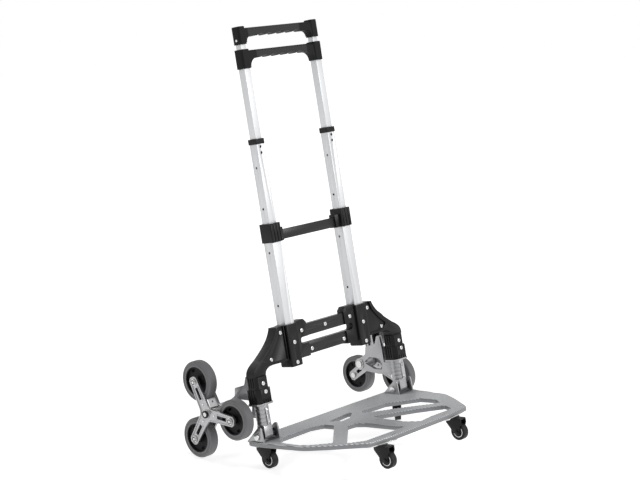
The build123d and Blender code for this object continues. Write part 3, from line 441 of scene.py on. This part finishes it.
screw = disc("deck_screw_heads", SCREW_RADIUS, SCREW_THICK)
for turn in (0, 90):
    bpy.ops.mesh.primitive_cube_add(size=1, location=(0, 0, SCREW_THICK))
    slot_cutter = bpy.context.object
    slot_cutter.scale = RECESS
    slot_cutter.rotation_euler.z = math.radians(turn)
    cut(screw, slot_cutter)
heads = []
for middle, vertices in islands("deck_screws"):
    heights = [(DECK_BACK @ vertex).z for vertex in vertices]
    on_top = max(heights) > TOP_LIMIT
    face = max(heights) if on_top else min(heights)
    spot = DECK_BACK @ middle
    facing = 1 if on_top else -1
    spot.z = face - facing * (SCREW_THICK - SCREW_SINK)
    heads.append(seated(screw, DECK @ spot, deck_normal * facing))
bpy.data.objects.remove(screw)
fit(joined("deck_screw_heads", heads), zinc, "steel", "deck_screws")

# ---------------------------------------------------------------------------------------------------
# Swivel casters: black glass-filled nylon forks on king pins, with black rubber wheels on plated axles.
# Each wheel has a pressed steel ring round its hub, on both faces.

FORK_EDGE = 0.7 * MM
TREAD_BEVEL = 2.6 * MM
HUB_RING = (12.6 * MM, 11.2 * MM)
HUB_RING_THICK = 0.8 * MM
HUB_RING_EDGE = 0.25 * MM
HUB_DISH = 1.2 * MM

caster_rubber = finish("caster rubber", (0.014, 0.014, 0.015), 0.5, depth=0.05, tone=0.2, shine=0.2)


def wheel_blank(name, radius, width, corners=96):
    """Solid wheel about the z axis, its middle at the origin."""
    piece = disc(name, radius, width, corners)
    piece.data.transform(Matrix.Translation((0, 0, -width / 2)))
    return piece


def dish(piece, thickness, depth):
    """Inset the middle of both ends of a wheel and sink it by a depth."""
    for end in (1, -1):
        sink(piece, thickness, depth, end)


def on_axis(piece, joint):
    """Turn a wheel's z axis to the axis of its joint and put its middle there."""
    axis = Vector(JOINTS[joint]["axis"])
    turn = axis.to_track_quat("Z", "Y").to_matrix().to_4x4()
    piece.data.transform(Matrix.Translation(Vector(JOINTS[joint]["pos_m"])) @ turn)


def reach(node, joint):
    """Radius, width and bore radius of a packed wheel about the axis of its joint."""
    axis = Vector(JOINTS[joint]["axis"])
    centre = Vector(JOINTS[joint]["pos_m"])
    along, out = [], []
    for vertex in NODES[node].data.vertices:
        offset = vertex.co - centre
        along.append(offset.dot(axis))
        out.append((offset - axis * offset.dot(axis)).length)
    return max(out), max(along) - min(along), min(out)


for place in ("front_left", "front_right", "rear_left", "rear_right"):
    rounded(f"caster_fork_{place}", FORK_EDGE, nylon, "black_plastic")

    joint = f"roll_{place}"
    radius, width, _ = reach(f"caster_wheel_{place}", joint)
    tread = wheel_blank(f"caster_tread_{place}", radius, width)
    dish(tread, radius - HUB_RING[0], HUB_DISH)
    soften(tread, TREAD_BEVEL, 4)
    on_axis(tread, joint)
    fit(tread, caster_rubber, "caster_rubber", f"caster_wheel_{place}")
    rings = []
    for end in (1, -1):
        ring = wheel_blank(f"caster_ring_{place}", HUB_RING[0], HUB_RING_THICK, 64)
        soften(ring, HUB_RING_EDGE)
        cut(ring, wheel_blank("hole", HUB_RING[1], 4 * HUB_RING_THICK, 64))
        ring.data.transform(Matrix.Translation((0, 0, end * (width / 2 - HUB_DISH + HUB_RING_THICK / 2))))
        rings.append(ring)
    ring = joined(f"caster_ring_{place}", rings)
    on_axis(ring, joint)
    fit(ring, zinc, "steel", f"caster_wheel_{place}")

# ---------------------------------------------------------------------------------------------------
# Legs with their wheel brackets: cast aluminium, tumbled. A small plated strap is screwed to the front of
# each bracket's sleeve, and the bracket carries the axle of the wheel set.

satin = finish("satin aluminium", (0.42, 0.42, 0.43), 0.28, 0.9, grain=(420, 420, 420), depth=0.03, tone=0.06)
for side in SIDES:
    rounded(f"leg_{side}", CAST_EDGE, cast, "casting")
    rounded(f"wheel_bracket_{side}", CAST_EDGE, cast, "casting")
    rounded(f"bracket_strap_{side}", STEEL_EDGE, satin, "steel")

# ---------------------------------------------------------------------------------------------------
# Stair-climbing wheel sets: two cast plates with three arms, joined by plated bolts through the wheels.
# The axle ends in a bright bolt inside a black cap, and at its inner end in a plated head on a washer.

SPIDER_EDGE = 0.5 * MM
BOLT_HEAD = (6.5 * MM, 3.0 * MM)
BOLT_EDGE = 0.5 * MM
BOLT_DISH = (2.0 * MM, 0.3 * MM)
WASHER = (7.4 * MM, 0.7 * MM)
WASHER_SINK = 0.1 * MM
ARM_RIVET = (2.6 * MM, 1.4 * MM)
ARM_RIVET_EDGE = 0.9 * MM
ARM_RIVET_REACH = 22.4 * MM
ARM_RIVET_SINK = 2.4 * MM
CAP_EDGE = 0.8 * MM
CAP_RECESS = (6.0 * MM, 2.6 * MM)
CAP_BOLT_PLAY = 0.5 * MM
CAP_BOLT_EDGE = 0.6 * MM
CAP_BOLT_DISH = (1.6 * MM, 0.5 * MM)
HUB_WASHER = (13.0 * MM, 1.4 * MM)
HUB_WASHER_DISH = (1.6 * MM, 0.3 * MM)
INNER_HEAD = 4.0 * MM

black_cap = finish("black cap", (0.008, 0.008, 0.009), 0.35, grain=(800, 800, 800), depth=0.03, tone=0.2,
                   shine=0.3)
outward = {"left": Vector((-1, 0, 0)), "right": Vector((1, 0, 0))}


def end_towards(node, facing):
    """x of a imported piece's end on the side that it faces."""
    low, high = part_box(node)
    return high.x if facing.x > 0 else low.x


bolt = disc("bolt_head", *BOLT_HEAD, 6)
soften(bolt, BOLT_EDGE, sharper_than=70)
sink(bolt, *BOLT_DISH)
washer = disc("washer", *WASHER)
hub_washer = disc("hub_washer", *HUB_WASHER)
soften(hub_washer, BOLT_EDGE)
sink(hub_washer, *HUB_WASHER_DISH)
cap_recess = disc("cap_recess", CAP_RECESS[0], 2 * CAP_RECESS[1])
cap_bolt = disc("cap_bolt", CAP_RECESS[0] - CAP_BOLT_PLAY, CAP_RECESS[1], 6)
soften(cap_bolt, CAP_BOLT_EDGE)
sink(cap_bolt, *CAP_BOLT_DISH)
arm_rivet = disc("arm_rivet", *ARM_RIVET, 24)
soften(arm_rivet, ARM_RIVET_EDGE, 3)

for side in SIDES:
    for plate in ("outer", "inner"):
        rounded(f"spider_{plate}_{side}", SPIDER_EDGE, satin, "casting")
    shafts = merged_copy(f"spider_bolts_{side}", f"spider_bolts_{side}_shafts")
    soften(shafts, STEEL_EDGE, 1, EDGE_ANGLE)
    fit(shafts, zinc, "steel", f"spider_bolts_{side}")
    facing = outward[side]
    bolt_x = end_towards(f"spider_bolts_{side}", facing) - facing.x * BOLT_HEAD[1]
    plate_x = end_towards(f"spider_outer_{side}", facing)
    hub = Vector(JOINTS[f"spider_turn_{side}"]["pos_m"])
    heads, rivets = [], []
    for wheel in (1, 2, 3):
        spot = Vector(JOINTS[f"wheel_turn_{side}_{wheel}"]["pos_m"])
        heads.append(seated(bolt, (bolt_x, spot.y, spot.z), facing))
        heads.append(seated(washer, (plate_x - facing.x * WASHER_SINK, spot.y, spot.z), facing))
        spot = hub + (spot - hub).normalized() * ARM_RIVET_REACH
        rivets.append(seated(arm_rivet, (plate_x - facing.x * ARM_RIVET_SINK, spot.y, spot.z), facing))
    fit(joined(f"bolt_heads_{side}", heads), zinc, "steel", f"spider_bolts_{side}", smooth=25)
    fit(joined(f"arm_rivets_{side}", rivets), zinc, "steel", f"spider_bolts_{side}")

    axle = merged_copy(f"wheel_axle_{side}", f"wheel_axle_{side}_cap")
    soften(axle, CAP_EDGE, 3, EDGE_ANGLE)
    cap_x = end_towards(f"wheel_axle_{side}", facing)
    recess_foot = (cap_x - facing.x * CAP_RECESS[1], hub.y, hub.z)
    cut(axle, seated(cap_recess, recess_foot, facing))
    fit(axle, black_cap, "black_plastic", f"wheel_axle_{side}")
    axle.data.materials.append(zinc)
    for face in axle.data.polygons:
        if abs(face.center.x) < (abs(cap_x) + abs(hub.x)) / 2 - CAP_RECESS[1]:
            face.material_index = 1
    head_x = end_towards(f"wheel_axle_{side}", -facing) + facing.x * INNER_HEAD
    inner_washer = seated(hub_washer, (head_x, hub.y, hub.z), -facing)
    inner_washer.name = f"axle_washer_{side}"
    fit(inner_washer, satin, "steel", f"wheel_axle_{side}")
    hub_bolt = seated(cap_bolt, recess_foot, facing)
    hub_bolt.name = f"axle_bolt_{side}"
    fit(hub_bolt, zinc, "steel", f"wheel_axle_{side}", smooth=25)
for blank in (bolt, washer, hub_washer, cap_recess, cap_bolt, arm_rivet):
    bpy.data.objects.remove(blank)

# ---------------------------------------------------------------------------------------------------
# Stair wheels: black nylon centres with a sunken web and four windows, and grey rubber tyres with
# round shoulders and a fine moulded line on each face.

TYRE_SHOULDER = 4.4 * MM
TYRE_LINE = (1.6 * MM, 1.2 * MM, 0.8 * MM)
RIM_LIP = 2.2 * MM
RIM_DISH = 5.5 * MM
RIM_PLAY = (0.05 * MM, 0.6 * MM)
RIM_EDGE = 0.4 * MM
HUB_RADIUS = 10.0 * MM
WINDOW = (11.0 * MM, 6.0 * MM, 25.0 * MM)
WINDOW_EDGE = 1.6 * MM
WINDOWS = 4
WINDOW_TURN = -32

rim_nylon = finish("black wheel nylon", (0.004, 0.004, 0.005), 0.45, depth=0.04, tone=0.25, shine=0.15)
tyre_rubber = finish("grey tyre", (0.165, 0.165, 0.17), 0.55, grain=(380, 380, 380), depth=0.08, tone=0.1,
                     shine=0.3)

for side in SIDES:
    for wheel in (1, 2, 3):
        joint = f"wheel_turn_{side}_{wheel}"
        radius, width, inner = reach(f"tyre_{side}_{wheel}", joint)
        tyre = wheel_blank(f"tyre_{side}_{wheel}_tread", radius, width, 128)
        soften(tyre, TYRE_SHOULDER, 5)
        line_in, line_wide, line_deep = TYRE_LINE
        dish(tyre, line_in, line_deep)
        dish(tyre, line_wide, -line_deep)
        cut(tyre, wheel_blank("bore", inner, 2 * width, 128))
        on_axis(tyre, joint)
        fit(tyre, tyre_rubber, "grey_tyre", f"tyre_{side}_{wheel}")

        rim = wheel_blank(f"rim_{side}_{wheel}_centre", inner - RIM_PLAY[0], width - RIM_PLAY[1], 96)
        dish(rim, RIM_LIP, RIM_DISH)
        dish(rim, inner - RIM_LIP - HUB_RADIUS, -RIM_DISH)
        for turn in range(WINDOWS):
            bpy.ops.mesh.primitive_cube_add(size=1)
            window = bpy.context.object
            window.data.transform(Matrix.Diagonal((WINDOW[1], WINDOW[0], 2 * width, 1)))
            soften(window, WINDOW_EDGE, 4, 30)
            angle = math.radians(360 / WINDOWS * turn + WINDOW_TURN)
            window.data.transform(Matrix.Rotation(angle, 4, "Z") @ Matrix.Translation((WINDOW[2], 0, 0)))
            cut(rim, window)
        soften(rim, RIM_EDGE, sharper_than=50)
        on_axis(rim, joint)
        fit(rim, rim_nylon, "black_plastic", f"rim_{side}_{wheel}")

# ---------------------------------------------------------------------------------------------------
# Sockets, collars and crossbars: glass-filled nylon mouldings, and pressed steel bars coated black.
# Plated blind rivets with domed heads hold them.

MOULD_EDGE = 0.9 * MM
COLLAR_EDGE = 0.6 * MM
BAR_EDGE = 0.6 * MM
RIVET_HEAD = (4.6 * MM, 1.7 * MM)
RIVET_DOME = 1.3 * MM
MANDREL = (1.5 * MM, 0.9 * MM)

coated = finish("black powder coat", (0.010, 0.010, 0.011), 0.34, grain=(900, 900, 900), depth=0.08, tone=0.2,
                shine=0.3)
for side in SIDES:
    rounded(f"socket_{side}", MOULD_EDGE, nylon, "black_plastic")
    rounded(f"collar_{side}", COLLAR_EDGE, nylon, "black_plastic")
for bar in ("crossbar_upper", "crossbar_lower"):
    rounded(bar, BAR_EDGE, coated, "black_metal")

tube_axis = Vector(JOINTS["lower_stage_slide"]["axis"])
front = Vector((0, -tube_axis.z, tube_axis.y))
rivet = disc("rivet", *RIVET_HEAD)
soften(rivet, RIVET_DOME, 4)
sink(rivet, RIVET_HEAD[0] - RIVET_DOME - MANDREL[0], MANDREL[1])
heads = []
for middle, vertices in islands("frame_rivets"):
    head_top = max(vertex.dot(front) for vertex in vertices)
    spot = middle + front * (head_top - middle.dot(front) - RIVET_HEAD[1])
    heads.append(seated(rivet, spot, front))
bpy.data.objects.remove(rivet)
fit(joined("rivet_heads", heads), zinc, "steel", "frame_rivets")

# ---------------------------------------------------------------------------------------------------
# Telescopic tubes: square aluminium extrusions, satin anodised, with fine die lines along them and the
# handling marks that sliding leaves. Plastic rings, sliders and stop pins guide and hold them.

TUBE_EDGE = 0.3 * MM
BORE_LIMIT = 1.0 * MM

anodised = finish("anodised tube", (0.56, 0.565, 0.575), 0.42, 0.8, (1100, 1100, 9), 0.008, 0.03, 5.0)
# The inside faces of the tubes get a near-black material: painted shade for the dark inside the bore.
painted_bore_shade = finish("painted bore shade", (0.03, 0.03, 0.03), 0.6, 0.6, depth=0.03)
for tubes in ("outer_tubes", "lower_stage_tubes", "middle_stage_tubes", "upper_stage_tubes"):
    extrusion = rounded(tubes, TUBE_EDGE, anodised, "tube")
    extrusion.data.materials.append(painted_bore_shade)
    centres = [middle for middle, vertices in islands(tubes)]
    for face in extrusion.data.polygons:
        offset = face.center - min(centres, key=lambda centre: abs(centre.x - face.center.x))
        outward_part = (offset - tube_axis * offset.dot(tube_axis)).dot(face.normal)
        # Faces that look into a tube take the near-black painted shade.
        if outward_part < BORE_LIMIT and abs(face.normal.dot(tube_axis)) < 0.9:
            face.material_index = 1
for guide in ("lower_stage_sliders", "ring_bushes", "stop_pins"):
    rounded(guide, TUBE_EDGE, nylon, "black_plastic")

# ---------------------------------------------------------------------------------------------------
# Clamps at the top of the outer tubes, moulded in glass-filled nylon, and the flat bar between them, steel
# coated black.

CLAMP_BAR_EDGE = 0.8 * MM

for side in SIDES:
    rounded(f"clamp_{side}", MOULD_EDGE, nylon, "black_plastic")
rounded("clamp_bar", CLAMP_BAR_EDGE, coated, "black_metal")

# ---------------------------------------------------------------------------------------------------
# Handles: nylon end blocks on the tubes, moulded in one piece with the finger grip between them, which has
# a rubber skin. A plated rivet through each end of the upper one holds it to its tubes.

GRIP_EDGE = 1.4 * MM
LOWER_SLEEVE = (-80 * MM, 80 * MM)
UPPER_SLEEVE = (-96 * MM, 66 * MM)
HANDLE_RIVET = (3.0 * MM, 1.4 * MM)
HANDLE_RIVET_EDGE = 0.7 * MM
HANDLE_RIVET_RISE = 14.0 * MM
HANDLE_RIVET_PROUD = 0.2 * MM

grip_nylon = finish("grip nylon", (0.006, 0.006, 0.007), 0.55, grain=(900, 900, 900), depth=0.09, tone=0.25,
                    shine=0.14)
grip_rubber = finish("grip rubber", (0.016, 0.016, 0.017), 0.6, grain=(900, 900, 900), depth=0.12, tone=0.25,
                     shine=0.3)
for handle, ends in (("lower_handle", LOWER_SLEEVE), ("upper_handle", UPPER_SLEEVE)):
    grip = merged_copy(handle, f"{handle}_moulding")
    soften(grip, GRIP_EDGE, 3, EDGE_ANGLE)
    for end in ends:
        bpy.ops.object.mode_set(mode="EDIT")
        bpy.ops.mesh.select_all(action="SELECT")
        bpy.ops.mesh.bisect(plane_co=(end, 0, 0), plane_no=(1, 0, 0))
        bpy.ops.object.mode_set(mode="OBJECT")
    fit(grip, grip_nylon, "black_plastic", handle, smooth=50)
    grip.data.materials.append(grip_rubber)
    for face in grip.data.polygons:
        if ends[0] < face.center.x < ends[1]:
            face.material_index = 1

handle_low, handle_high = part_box("upper_handle")
button = disc("handle_rivet", *HANDLE_RIVET, 24)
soften(button, HANDLE_RIVET_EDGE, 3)
tube_line = Vector(JOINTS["toe_plate_fold"]["pos_m"])
tube_line -= tube_axis * tube_line.dot(tube_axis)
handle_foot = Vector((0, handle_low.y, handle_low.z)).dot(tube_axis)
button_spot = tube_line + tube_axis * (handle_foot + HANDLE_RIVET_RISE)
buttons = []
for end, side_x in ((1, handle_high.x), (-1, handle_low.x)):
    foot_x = side_x - end * (HANDLE_RIVET[1] - HANDLE_RIVET_PROUD)
    buttons.append(seated(button, (foot_x, button_spot.y, button_spot.z), (end, 0, 0)))
bpy.data.objects.remove(button)
fit(joined("handle_rivets", buttons), zinc, "steel", "upper_handle")
